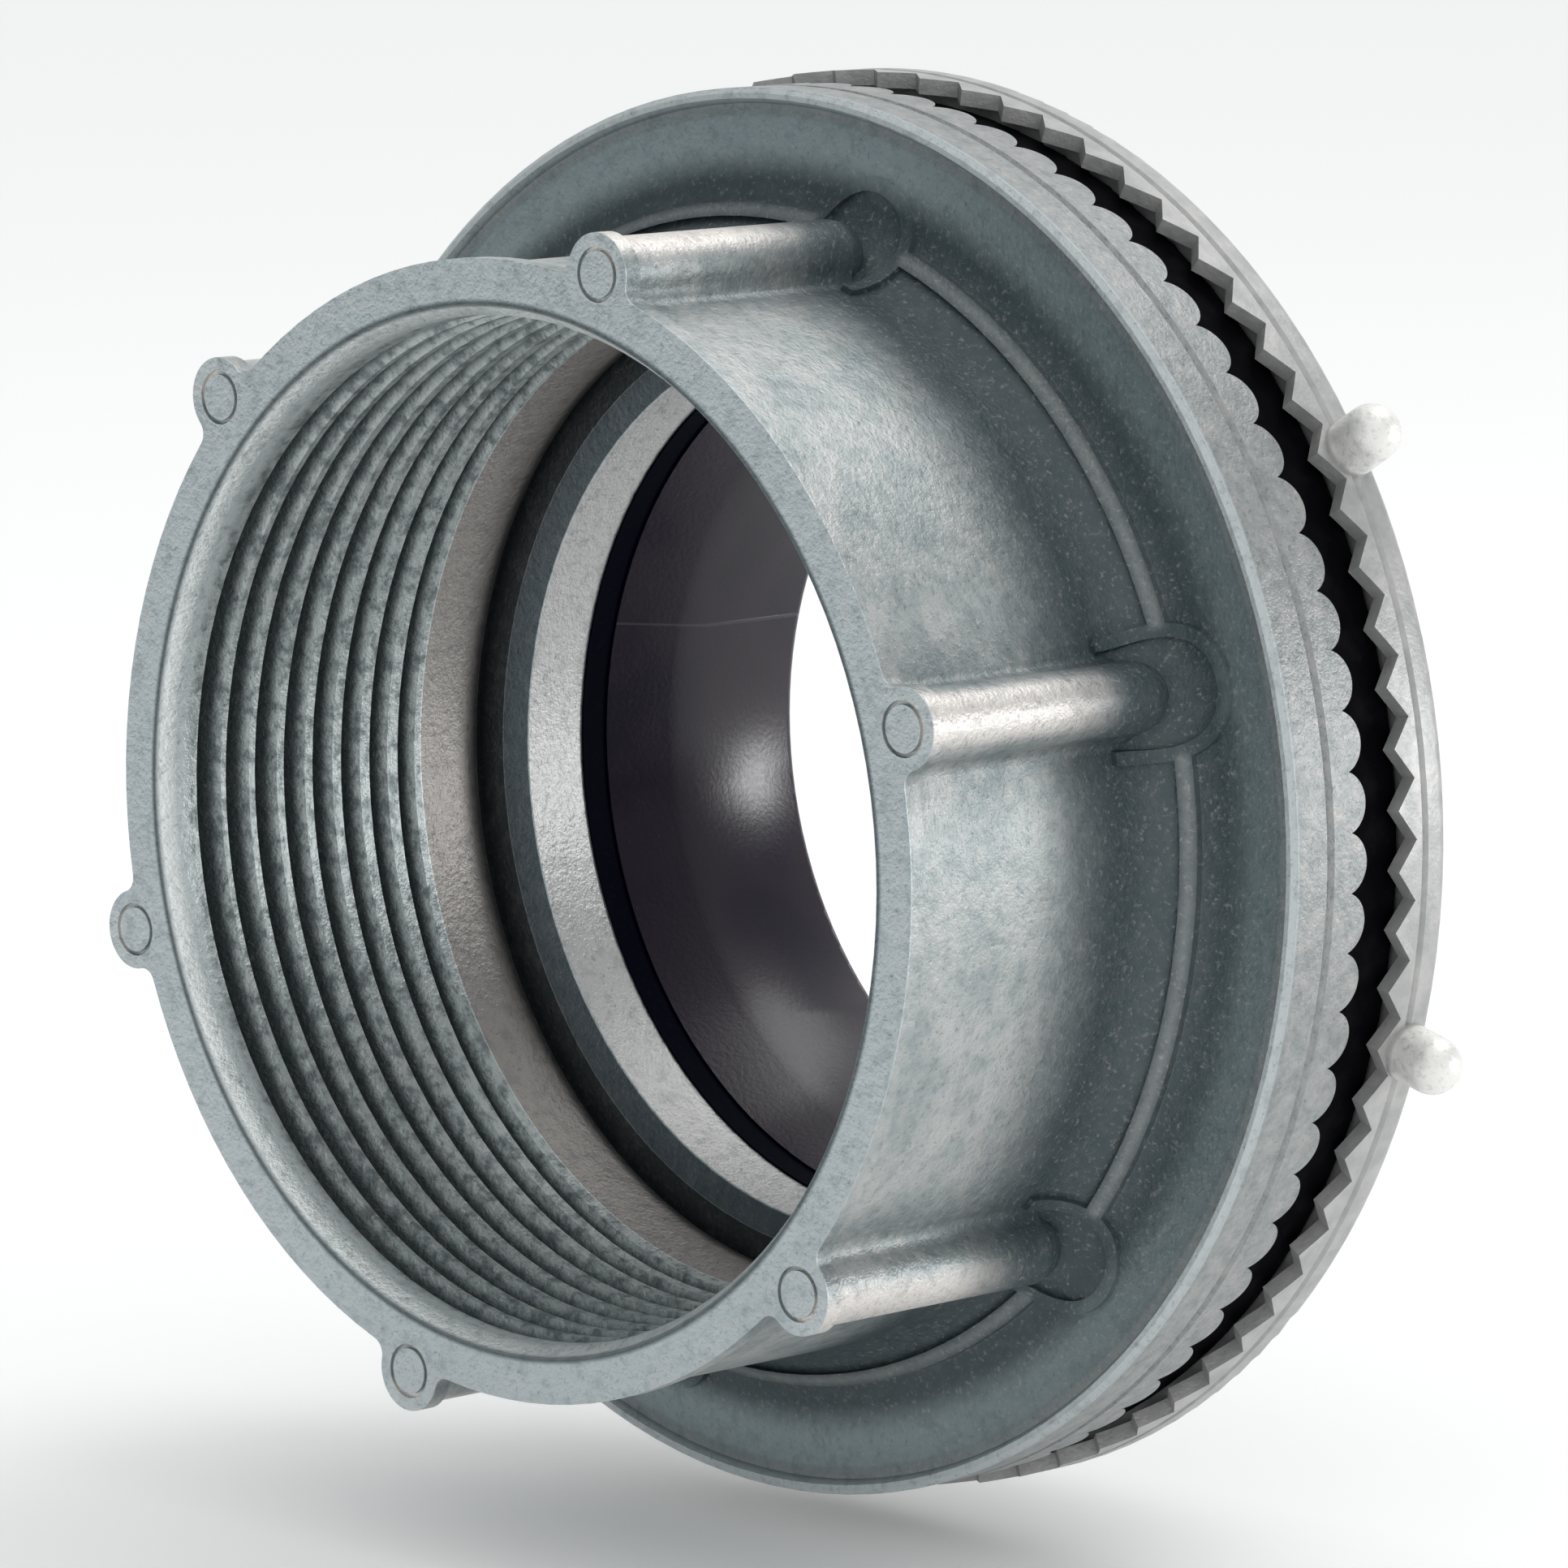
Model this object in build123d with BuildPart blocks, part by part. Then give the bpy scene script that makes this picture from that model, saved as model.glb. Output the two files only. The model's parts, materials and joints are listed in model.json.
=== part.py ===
from build123d import *
import os
from math import atan, ceil, degrees, pi

# Watertight threaded conduit hub, trade size 2 in, with an insulated throat. Four pieces on the Y axis:
#   hub_body      ribbed zinc casting: a female pipe thread in its mouth, a toothed flange, a threaded nipple
#   throat_liner  plastic tube in the nipple that keeps the wires off the metal
#   sealing_ring  rubber ring, half of it in a recess of the flange
#   lock_nut      toothed nut on the nipple, with its own recess over the sealing ring
#
# The origin is on the axis, in the plane of the flange's tooth tips, where the enclosure's wall seats.
# The mouth faces -Y, and the nipple points along +Y, through the wall and into the enclosure.

os.makedirs("parts", exist_ok=True)

# --- driving dimensions, millimetres ---------------------------------------------------------------------

# pipe threads of trade size 2 in, 11.5 turns to the inch
PITCH = 25.4 / 11.5
CONE_TAPER = 1 / 32  # radius lost per length of a tapered pipe thread
CONDUIT_CREST_R = 28.8
CONDUIT_THREAD_DEPTH = 1.4
CONDUIT_LAND = 0.3  # flat left on each crest at the mouth
CONDUIT_THREAD_TURNS = 8.2
NIPPLE_R = 29.9
NIPPLE_ROOT_R = 28.65
NIPPLE_TIP_R = 28.4
NIPPLE_LAND = 0.45
ROOT_FLAT = 0.45
NUT_CREST_R = 28.9
NUT_ROOT_R = 30.15
FLANK_GAP = 0.16  # axial play between nut and nipple on each flank
GROOVE_OVERSHOOT = 0.2  # how far a groove's cutter stands clear of the crest
CUTTER_MARGIN = 1.0  # how far a tooth gap's cutter runs past the teeth, in and out
CUTTER_CLEARANCE = 0.5  # how far it stands clear of the tooth tips
LONGEST_LINK_TURNS = 1.2

# stations along the axis, counted from the flange's tooth tips
MOUTH_Y = -26.8
CONDUIT_THREAD_START_Y = MOUTH_Y + 1.9
SMOOTH_BORE_END_Y = -2.1
UNDERCUT_END_Y = -1.3
SHOULDER_END_Y = -0.5
LINER_SEAT_Y = 3.8
NIPPLE_THREAD_START_Y = 0.6
RELIEF_END_Y = 1.3
RELIEF_R = 28.5
NIPPLE_END_Y = 18.6
NIPPLE_LEAD = 0.8  # length of the cone where the thread starts, next to the relief
NIPPLE_TIP_CHAMFER = 1.0
LINER_END_Y = 19.7

# barrel and mouth
BARREL_R = 31.6
CORE_R = 31.0  # the turned core inside the ribbed skin
SKIN_OVERLAP = 0.4  # how far the skin and the lip reach into the core
LIP_R = 32.0
LIP_LENGTH = 1.1
MOUTH_CHAMFER = 0.6
MOUTH_CHAMFER_LENGTH = 0.96
RIB_COUNT = 6
RIB_PHASE = 16.0  # degrees from +X towards +Z
RIB_AXIS_R = 32.6
RIB_R = 2.0
RIB_END_R = 2.3  # the lip's bulge round each rib
RIB_FOOT_FILLET = 0.9
RIB_BACK_Y = -9.0
RIB_END_STEP = 0.05
RIB_MARK_R = 1.55
RIB_MARK_WIDTH = 0.25
RIB_MARK_DEPTH = 0.2

# throat of the body
UNDERCUT_R = 29.3
SHOULDER_OUTER_R = 27.5
THROAT_R = 25.9
LINER_SEAT_R = 27.2

# flange
FLANGE_R = 40.4
FLANGE_FRONT_Y = -5.55
FLANGE_FILLET = 4.8
FLANGE_EDGE_LIP = 0.3
FLANGE_LAND_Y = -0.4  # the flat inside the sealing ring, just below the tooth tips
SIDE_GROOVE_Y = -2.9
SIDE_GROOVE = 0.3
TOOTH_COUNT = 76
FLANGE_TOOTH_DEPTH = 1.2
FLANGE_TOOTH_PHASE = 2.36
CROWN_INNER_R = 39.7
RECESS_INNER_R = 34.2
RECESS_FLOOR_Y = -2.6
PARTING_R = 33.6
PARTING_WIDTH = 0.75
PARTING_HEIGHT = 0.35
PARTING_LOOP_R = 3.4
PARTING_LOOP_AXIS_R = 33.0
PARTING_ROOT = 1.0  # how far the bead reaches into the casting

# sealing ring
RING_GAP = 0.08
RING_FRONT_Y = 3.8
RING_CORNER = 0.8

# throat liner
LINER_GAP = 0.05
LINER_LIP_R = 25.75
LINER_LIP_LENGTH = 1.8
LINER_FRONT_R = 25.6
LINER_BORE_R = 23.8
LINER_BORE_START_Y = 11.5
LINER_COLLAR_R = 28.3
LINER_EDGE = 0.7

# lock nut, one wall's thickness away from the flange
NUT_R = 41.0
NUT_TIP_Y = 2.0
NUT_BOSS_Y = 2.3
NUT_BACK_Y = 6.2
NUT_TOOTH_DEPTH = 1.45
NUT_TOOTH_PHASE = 1.26
NUT_CROWN_INNER_R = 40.1
NUT_BOSS_R = 33.9
NUT_RECESS_FLOOR_Y = 3.9
NUT_LINE_Y = 4.15
NUT_LINE = 0.25
NUT_BACK_ROUND = 0.9
LUG_ANGLES = (32.0, 164.2, 212.0, 344.2)
LUG_R = 1.65
LUG_TIP_CENTRE_R = 43.0
LUG_ROOT_R = 40.4
LUG_Y = 4.5


def turned_plane(y: float) -> Plane:
    """Plane across the axis at station y, with its x along +X and its y along +Z."""
    return Plane.XZ.offset(-y)


def thread_groove(
    radius: float, start_y: float, turns: float, depth: float, mouth: float, taper: float
) -> list[Part]:
    """Right-handed helical groove to cut away, as a chain of solids of about one turn each.

    radius is the crest's; a positive depth cuts outward from it and a negative one inward.
    mouth is the groove's width at the crest, and taper is the radius lost per length.
    """
    flank = (mouth - ROOT_FLAT) / 2 / abs(depth)
    side = 1 if depth > 0 else -1
    wide = mouth / 2 + GROOVE_OVERSHOOT * flank
    links = ceil(turns / LONGEST_LINK_TURNS)
    link_turns = turns / links
    chain = []
    for link in range(links):
        advance = PITCH * link_turns * link
        with BuildPart() as groove:
            with BuildLine():
                path = Helix(
                    pitch=PITCH,
                    height=PITCH * link_turns,
                    radius=radius - taper * advance,
                    center=(0, start_y + advance, 0),
                    direction=(0, 1, 0),
                    cone_angle=-degrees(atan(taper)),
                )
            start = path @ 0
            with BuildSketch(Plane(origin=start, x_dir=(start.X, 0, start.Z), z_dir=path % 0)):
                with BuildLine():
                    Polyline(
                        (-side * GROOVE_OVERSHOOT, -wide),
                        (depth, -ROOT_FLAT / 2),
                        (depth, ROOT_FLAT / 2),
                        (-side * GROOVE_OVERSHOOT, wide),
                        close=True,
                    )
                make_face()
            sweep(path=path, is_frenet=True)
        chain.append(groove.part.rotate(Axis.Y, 360 * link_turns * link))
    return chain


def tooth_gap(tip_y: float, depth: float, outer_r: float, inner_r: float, rounded: bool) -> Part:
    """Radial notch between two teeth, lying along +X, as a solid to cut away.

    A positive depth cuts towards +Y. A rounded gap has flanks that swell into round crests.
    """
    half_pitch = pi / TOOTH_COUNT * outer_r
    clear = CUTTER_CLEARANCE if depth > 0 else -CUTTER_CLEARANCE
    crest_r = (half_pitch**2 + depth**2) / (2 * abs(depth))
    with BuildPart() as gap:
        cutter_plane = Plane(origin=(inner_r - CUTTER_MARGIN, tip_y, 0), x_dir=(0, 0, -1), z_dir=(1, 0, 0))
        with BuildSketch(cutter_plane):
            with BuildLine():
                if rounded:
                    sign = -1 if depth > 0 else 1
                    RadiusArc((-half_pitch, 0), (0, depth), sign * crest_r)
                    RadiusArc((0, depth), (half_pitch, 0), sign * crest_r)
                else:
                    Polyline((-half_pitch, 0), (0, depth), (half_pitch, 0))
                Polyline((half_pitch, 0), (half_pitch, -clear), (-half_pitch, -clear), (-half_pitch, 0))
            make_face()
        extrude(amount=outer_r - inner_r + 2 * CUTTER_MARGIN)
    return gap.part


def around_axis(gap: Part, phase: float) -> list[Part]:
    """One copy of a tooth gap for each tooth, the first at the angle phase."""
    return [gap.rotate(Axis.Y, -phase - 360 / TOOTH_COUNT * tooth) for tooth in range(TOOTH_COUNT)]


# --- cutters and trim that the sub-parts use -------------------------------------------------------------

conduit_groove = thread_groove(
    CONDUIT_CREST_R,
    CONDUIT_THREAD_START_Y,
    CONDUIT_THREAD_TURNS,
    CONDUIT_THREAD_DEPTH,
    PITCH - CONDUIT_LAND,
    CONE_TAPER,
)
nipple_turns = (NIPPLE_END_Y + PITCH - NIPPLE_THREAD_START_Y) / PITCH
nipple_groove = thread_groove(
    NIPPLE_R, NIPPLE_THREAD_START_Y, nipple_turns, NIPPLE_ROOT_R - NIPPLE_R, PITCH - NIPPLE_LAND, taper=0
)

# the nut's ridge fills the nipple's groove, less the flank gap
nipple_flank = (PITCH - NIPPLE_LAND - ROOT_FLAT) / 2 / (NIPPLE_R - NIPPLE_ROOT_R)
groove_at_nut_crest = ROOT_FLAT + 2 * nipple_flank * (NUT_CREST_R - NIPPLE_ROOT_R)
nut_land = groove_at_nut_crest - 2 * FLANK_GAP
nut_thread_start_y = NIPPLE_THREAD_START_Y - PITCH / 2
nut_turns = (NUT_BACK_Y + PITCH - nut_thread_start_y) / PITCH
nut_groove = thread_groove(
    NUT_CREST_R, nut_thread_start_y, nut_turns, NUT_ROOT_R - NUT_CREST_R, PITCH - nut_land, taper=0
)

flange_gap = tooth_gap(0, -FLANGE_TOOTH_DEPTH, FLANGE_R, CROWN_INNER_R, rounded=True)
nut_gap = tooth_gap(NUT_TIP_Y, NUT_TOOTH_DEPTH, NUT_R, NUT_CROWN_INNER_R, rounded=False)

# the parting line: a low bead on the fillet between barrel and flange, with a loop round each rib's end
with BuildPart() as parting_bead:
    with BuildSketch(turned_plane(0)):
        Circle(PARTING_R + PARTING_WIDTH / 2)
        Circle(PARTING_R - PARTING_WIDTH / 2, mode=Mode.SUBTRACT)
        with PolarLocations(PARTING_LOOP_AXIS_R, RIB_COUNT, start_angle=RIB_PHASE):
            Circle(PARTING_LOOP_R + PARTING_WIDTH / 2)
        with PolarLocations(PARTING_LOOP_AXIS_R, RIB_COUNT, start_angle=RIB_PHASE):
            Circle(PARTING_LOOP_R - PARTING_WIDTH / 2, mode=Mode.SUBTRACT)
        Circle(BARREL_R, mode=Mode.SUBTRACT)
    extrude(amount=-MOUTH_Y)
    with BuildSketch(Plane.XY):
        with BuildLine():
            fillet_top_y = FLANGE_FRONT_Y - FLANGE_FILLET
            raised_r = FLANGE_FILLET - PARTING_HEIGHT
            foot = (BARREL_R + PARTING_HEIGHT, fillet_top_y)
            rim = (BARREL_R + FLANGE_FILLET, FLANGE_FRONT_Y - PARTING_HEIGHT)
            root_y = RECESS_FLOOR_Y - PARTING_ROOT
            root_r = BARREL_R - PARTING_ROOT
            RadiusArc(foot, rim, raised_r)
            Polyline(rim, (FLANGE_R, rim[1]), (FLANGE_R, root_y), (root_r, root_y))
            Polyline((root_r, root_y), (root_r, fillet_top_y), foot)
        make_face()
    revolve(axis=Axis.Y, mode=Mode.INTERSECT)

# --- hub body --------------------------------------------------------------------------------------------

with BuildPart() as hub_body:
    # the turned blank: barrel, flange, nipple and stepped bore
    with BuildSketch(Plane.XY):
        with BuildLine():
            fillet_start = (BARREL_R, FLANGE_FRONT_Y - FLANGE_FILLET)
            fillet_end = (BARREL_R + FLANGE_FILLET, FLANGE_FRONT_Y)
            Polyline(
                (CONDUIT_CREST_R + MOUTH_CHAMFER, MOUTH_Y),
                (CORE_R, MOUTH_Y),
                (CORE_R, FLANGE_FRONT_Y - FLANGE_FILLET),
                fillet_start,
            )
            RadiusArc(fillet_start, fillet_end, FLANGE_FILLET)
            Polyline(
                fillet_end,
                (FLANGE_R - 3 * FLANGE_EDGE_LIP, FLANGE_FRONT_Y + FLANGE_EDGE_LIP / 2),
                (FLANGE_R - 2 * FLANGE_EDGE_LIP, FLANGE_FRONT_Y - FLANGE_EDGE_LIP),
                (FLANGE_R - FLANGE_EDGE_LIP, FLANGE_FRONT_Y - FLANGE_EDGE_LIP),
                (FLANGE_R, FLANGE_FRONT_Y),
                (FLANGE_R, SIDE_GROOVE_Y - SIDE_GROOVE),
                (FLANGE_R - SIDE_GROOVE, SIDE_GROOVE_Y),
                (FLANGE_R, SIDE_GROOVE_Y + SIDE_GROOVE),
                (FLANGE_R, 0),
                (CROWN_INNER_R, 0),
                (CROWN_INNER_R, RECESS_FLOOR_Y),
                (RECESS_INNER_R, RECESS_FLOOR_Y),
                (RECESS_INNER_R, FLANGE_LAND_Y),
                (RELIEF_R, FLANGE_LAND_Y),
                (RELIEF_R, RELIEF_END_Y),
                (NIPPLE_R, RELIEF_END_Y + NIPPLE_LEAD),
                (NIPPLE_R, NIPPLE_END_Y - NIPPLE_TIP_CHAMFER),
                (NIPPLE_TIP_R, NIPPLE_END_Y),
                (LINER_SEAT_R, NIPPLE_END_Y),
                (LINER_SEAT_R, LINER_SEAT_Y),
                (THROAT_R, LINER_SEAT_Y),
                (THROAT_R, SHOULDER_END_Y),
                (SHOULDER_OUTER_R, UNDERCUT_END_Y),
                (UNDERCUT_R, UNDERCUT_END_Y),
                (UNDERCUT_R, SMOOTH_BORE_END_Y),
                (CONDUIT_CREST_R, SMOOTH_BORE_END_Y),
                (CONDUIT_CREST_R, MOUTH_Y + MOUTH_CHAMFER_LENGTH),
                (CONDUIT_CREST_R + MOUTH_CHAMFER, MOUTH_Y),
            )
        make_face()
    revolve(axis=Axis.Y)
    add(nipple_groove, mode=Mode.SUBTRACT)
    add(conduit_groove, mode=Mode.SUBTRACT)

    # the lip at the mouth, which also runs round the end of each rib
    with BuildSketch(turned_plane(MOUTH_Y)) as lip:
        Circle(LIP_R)
        with PolarLocations(RIB_AXIS_R, RIB_COUNT, start_angle=RIB_PHASE):
            Circle(RIB_END_R)
        fillet(lip.vertices(), RIB_FOOT_FILLET)
        Circle(CORE_R - SKIN_OVERLAP, mode=Mode.SUBTRACT)
    extrude(amount=-LIP_LENGTH)

    # the ribs, round in section and round at the back end
    with BuildSketch(turned_plane(MOUTH_Y + LIP_LENGTH)) as ribs:
        Circle(BARREL_R)
        with PolarLocations(RIB_AXIS_R, RIB_COUNT, start_angle=RIB_PHASE):
            Circle(RIB_R)
        fillet(ribs.vertices(), RIB_FOOT_FILLET)
        Circle(CORE_R - SKIN_OVERLAP, mode=Mode.SUBTRACT)
    extrude(amount=MOUTH_Y + LIP_LENGTH - RIB_BACK_Y)
    with Locations(turned_plane(RIB_BACK_Y).location):
        with PolarLocations(RIB_AXIS_R, RIB_COUNT, start_angle=RIB_PHASE):
            Sphere(RIB_R - RIB_END_STEP)

    # a turned ring mark in the front of each rib
    with BuildSketch(turned_plane(MOUTH_Y)):
        with PolarLocations(RIB_AXIS_R, RIB_COUNT, start_angle=RIB_PHASE):
            Circle(RIB_MARK_R)
        with PolarLocations(RIB_AXIS_R, RIB_COUNT, start_angle=RIB_PHASE):
            Circle(RIB_MARK_R - RIB_MARK_WIDTH, mode=Mode.SUBTRACT)
    extrude(amount=-RIB_MARK_DEPTH, mode=Mode.SUBTRACT)

    add(parting_bead.part)
    add(around_axis(flange_gap, FLANGE_TOOTH_PHASE), mode=Mode.SUBTRACT)

hub_body.part.label = "hub_body"
export_step(hub_body.part, "parts/hub_body.step")

# --- throat liner ----------------------------------------------------------------------------------------

with BuildPart() as throat_liner:
    with BuildSketch(Plane.XY):
        with BuildLine():
            Polyline(
                (LINER_SEAT_R - LINER_GAP, LINER_SEAT_Y),
                (LINER_LIP_R, LINER_SEAT_Y),
                (LINER_LIP_R, LINER_SEAT_Y + LINER_LIP_LENGTH),
                (LINER_FRONT_R, LINER_SEAT_Y + LINER_LIP_LENGTH),
                (LINER_BORE_R, LINER_BORE_START_Y),
                (LINER_BORE_R, LINER_END_Y),
                (LINER_COLLAR_R, LINER_END_Y),
                (LINER_COLLAR_R, NIPPLE_END_Y),
                (LINER_SEAT_R - LINER_GAP, NIPPLE_END_Y),
                close=True,
            )
        make_face()
    revolve(axis=Axis.Y)
    end_edges = throat_liner.edges().filter_by(GeomType.CIRCLE).group_by(Axis.Y)[-1]
    fillet(end_edges, LINER_EDGE)

throat_liner.part.label = "throat_liner"
export_step(throat_liner.part, "parts/throat_liner.step")

# --- sealing ring ----------------------------------------------------------------------------------------

with BuildPart() as sealing_ring:
    with BuildSketch(Plane.XY):
        with BuildLine():
            Polyline(
                (RECESS_INNER_R + RING_GAP, RECESS_FLOOR_Y + RING_GAP),
                (CROWN_INNER_R - RING_GAP, RECESS_FLOOR_Y + RING_GAP),
                (CROWN_INNER_R - RING_GAP, RING_FRONT_Y),
                (RECESS_INNER_R + RING_GAP, RING_FRONT_Y),
                close=True,
            )
        make_face()
    revolve(axis=Axis.Y)
    front_edges = sealing_ring.edges().filter_by(GeomType.CIRCLE).group_by(Axis.Y)[-1]
    fillet(front_edges, RING_CORNER)

sealing_ring.part.label = "sealing_ring"
export_step(sealing_ring.part, "parts/sealing_ring.step")

# --- lock nut --------------------------------------------------------------------------------------------

with BuildPart() as lock_nut:
    with BuildSketch(Plane.XY):
        with BuildLine():
            Polyline(
                (NUT_CREST_R, NUT_BOSS_Y),
                (NUT_BOSS_R, NUT_BOSS_Y),
                (NUT_BOSS_R, NUT_RECESS_FLOOR_Y),
                (NUT_CROWN_INNER_R, NUT_RECESS_FLOOR_Y),
                (NUT_CROWN_INNER_R, NUT_TIP_Y),
                (NUT_R, NUT_TIP_Y),
                (NUT_R, NUT_LINE_Y - NUT_LINE),
                (NUT_R - NUT_LINE, NUT_LINE_Y),
                (NUT_R, NUT_LINE_Y + NUT_LINE),
                (NUT_R, NUT_BACK_Y),
                (NUT_CREST_R, NUT_BACK_Y),
                close=True,
            )
        make_face()
    revolve(axis=Axis.Y)
    back_edges = lock_nut.edges().filter_by(GeomType.CIRCLE).group_by(Axis.Y)[-1]
    fillet(back_edges.sort_by(SortBy.RADIUS)[-1], NUT_BACK_ROUND)

    add(nut_groove, mode=Mode.SUBTRACT)
    add(around_axis(nut_gap, NUT_TOOTH_PHASE), mode=Mode.SUBTRACT)

    # round-ended lugs on the rim, added after the teeth are cut so that they stay whole
    for angle in LUG_ANGLES:
        outward = Vector(1, 0, 0).rotate(Axis.Y, -angle)
        centre = Vector(0, LUG_Y, 0) + outward * LUG_TIP_CENTRE_R
        with BuildSketch(Plane(origin=Vector(0, LUG_Y, 0) + outward * LUG_ROOT_R, z_dir=outward)):
            Circle(LUG_R)
        extrude(amount=LUG_TIP_CENTRE_R - LUG_ROOT_R)
        with Locations(centre):
            Sphere(LUG_R)

lock_nut.part.label = "lock_nut"
export_step(lock_nut.part, "parts/lock_nut.step")

for part in (hub_body.part, throat_liner.part, sealing_ring.part, lock_nut.part):
    print(part.label, "solids", len(part.solids()), "valid", part.is_valid, "volume", round(part.volume, 1))
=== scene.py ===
"""Looks for a threaded conduit hub: cast zinc body, plastic throat, rubber sealing ring and zinc lock nut.

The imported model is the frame. Each cast or moulded piece is a merged copy of its frame node, shaded smooth
over its curved walls, and stands in for that node. All lengths are in metres, and the axis is along Y.
"""

import json
import logging
import math
from dataclasses import dataclass
from enum import Enum

import bpy
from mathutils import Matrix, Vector

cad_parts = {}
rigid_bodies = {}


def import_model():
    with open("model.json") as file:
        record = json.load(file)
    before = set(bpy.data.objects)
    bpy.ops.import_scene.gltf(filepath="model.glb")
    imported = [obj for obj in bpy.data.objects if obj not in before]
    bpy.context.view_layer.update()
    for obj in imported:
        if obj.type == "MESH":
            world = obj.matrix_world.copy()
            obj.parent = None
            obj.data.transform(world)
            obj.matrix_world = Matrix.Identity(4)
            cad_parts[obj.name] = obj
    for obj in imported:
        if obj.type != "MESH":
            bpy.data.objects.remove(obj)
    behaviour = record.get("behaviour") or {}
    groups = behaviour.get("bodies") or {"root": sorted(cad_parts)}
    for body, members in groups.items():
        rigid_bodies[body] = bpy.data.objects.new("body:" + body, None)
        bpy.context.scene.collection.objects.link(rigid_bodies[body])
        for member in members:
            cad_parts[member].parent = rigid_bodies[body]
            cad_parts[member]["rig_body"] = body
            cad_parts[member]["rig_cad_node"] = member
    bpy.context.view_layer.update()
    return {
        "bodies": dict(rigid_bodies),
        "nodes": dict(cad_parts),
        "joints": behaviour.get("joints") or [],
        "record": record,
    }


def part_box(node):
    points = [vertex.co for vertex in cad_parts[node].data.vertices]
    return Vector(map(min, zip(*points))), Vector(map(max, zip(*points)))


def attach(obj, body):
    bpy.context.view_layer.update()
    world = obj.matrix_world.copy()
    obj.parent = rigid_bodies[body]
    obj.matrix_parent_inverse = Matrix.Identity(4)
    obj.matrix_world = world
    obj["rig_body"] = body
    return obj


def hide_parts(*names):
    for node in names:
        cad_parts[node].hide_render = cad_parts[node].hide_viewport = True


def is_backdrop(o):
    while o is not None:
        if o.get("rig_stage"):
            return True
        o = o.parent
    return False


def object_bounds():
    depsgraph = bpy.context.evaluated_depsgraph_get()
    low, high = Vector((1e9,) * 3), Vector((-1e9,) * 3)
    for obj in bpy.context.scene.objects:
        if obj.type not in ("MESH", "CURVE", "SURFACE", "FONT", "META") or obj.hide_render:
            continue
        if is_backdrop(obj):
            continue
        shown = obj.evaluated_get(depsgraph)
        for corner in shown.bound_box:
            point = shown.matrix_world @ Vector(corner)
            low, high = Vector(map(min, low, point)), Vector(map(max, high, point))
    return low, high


MM = 0.001
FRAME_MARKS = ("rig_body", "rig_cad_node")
LOG = logging.getLogger("conduit_hub")


# --- shader expressions ----------------------------------------------------------------------------------


class Expr:
    """A socket's value that can be used in a Python expression; each operator adds a Math node."""

    def __init__(self, shader: "Nodes", socket: bpy.types.NodeSocket) -> None:
        """Wrap a socket.

        Args:
            shader: the tree that the socket belongs to.
            socket: the output whose value this stands for.
        """
        self.shader = shader
        self.socket = socket

    def _math(self, operation: str, *others: "Expr | float", flip: bool = False) -> "Expr":
        """Add a Math node on this value.

        Args:
            operation: the Math node's operation.
            others: the other operands, in order.
            flip: whether this value comes after the first of the others.

        Returns:
            The node's result.
        """
        operands = [self, *others]
        if flip:
            operands[0], operands[1] = operands[1], operands[0]
        node = self.shader.node("ShaderNodeMath", {"operation": operation}, dict(enumerate(operands)))
        return Expr(self.shader, node.outputs[0])

    def __add__(self, other: "Expr | float") -> "Expr":
        """Sum."""
        return self._math("ADD", other)

    __radd__ = __add__

    def __sub__(self, other: "Expr | float") -> "Expr":
        """Difference."""
        return self._math("SUBTRACT", other)

    def __rsub__(self, other: float) -> "Expr":
        """Difference, from a number."""
        return self._math("SUBTRACT", other, flip=True)

    def __mul__(self, other: "Expr | float") -> "Expr":
        """Product."""
        return self._math("MULTIPLY", other)

    __rmul__ = __mul__

    def __truediv__(self, other: "Expr | float") -> "Expr":
        """Quotient."""
        return self._math("DIVIDE", other)

    def __rtruediv__(self, other: float) -> "Expr":
        """Quotient, of a number."""
        return self._math("DIVIDE", other, flip=True)

    def __pow__(self, other: "Expr | float") -> "Expr":
        """Power."""
        return self._math("POWER", other)

    def size(self) -> "Expr":
        """The value without its sign."""
        return self._math("ABSOLUTE")

    def angle(self, across: "Expr") -> "Expr":
        """The angle, in radians, of a point this far up and so far across."""
        return self._math("ARCTAN2", across)

    def wrapped(self, span: float) -> "Expr":
        """The value folded into one span about zero, as for a shape that repeats."""
        return self._math("WRAP", span / 2, -span / 2)

    def ramp(self, start: float, end: float) -> "Expr":
        """A smooth step.

        Args:
            start: the value that gives 0.
            end: the value that gives 1; it may be less than start.

        Returns:
            A value from 0 to 1.
        """
        settings = {"interpolation_type": "SMOOTHSTEP"}
        inputs = {"Value": self, "From Min": start, "From Max": end, "To Min": 0.0, "To Max": 1.0}
        node = self.shader.node("ShaderNodeMapRange", settings, inputs)
        return Expr(self.shader, node.outputs[0])

    def band(self, centre: float, half_width: float) -> "Expr":
        """A smooth hump: 1 at the centre, and 0 half a width away on either side."""
        return (self - centre).size().ramp(half_width, 0.0)


MIX_FACTOR, MIX_A, MIX_B = "Factor", 6, 7
MIX_RESULT = 2


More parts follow.
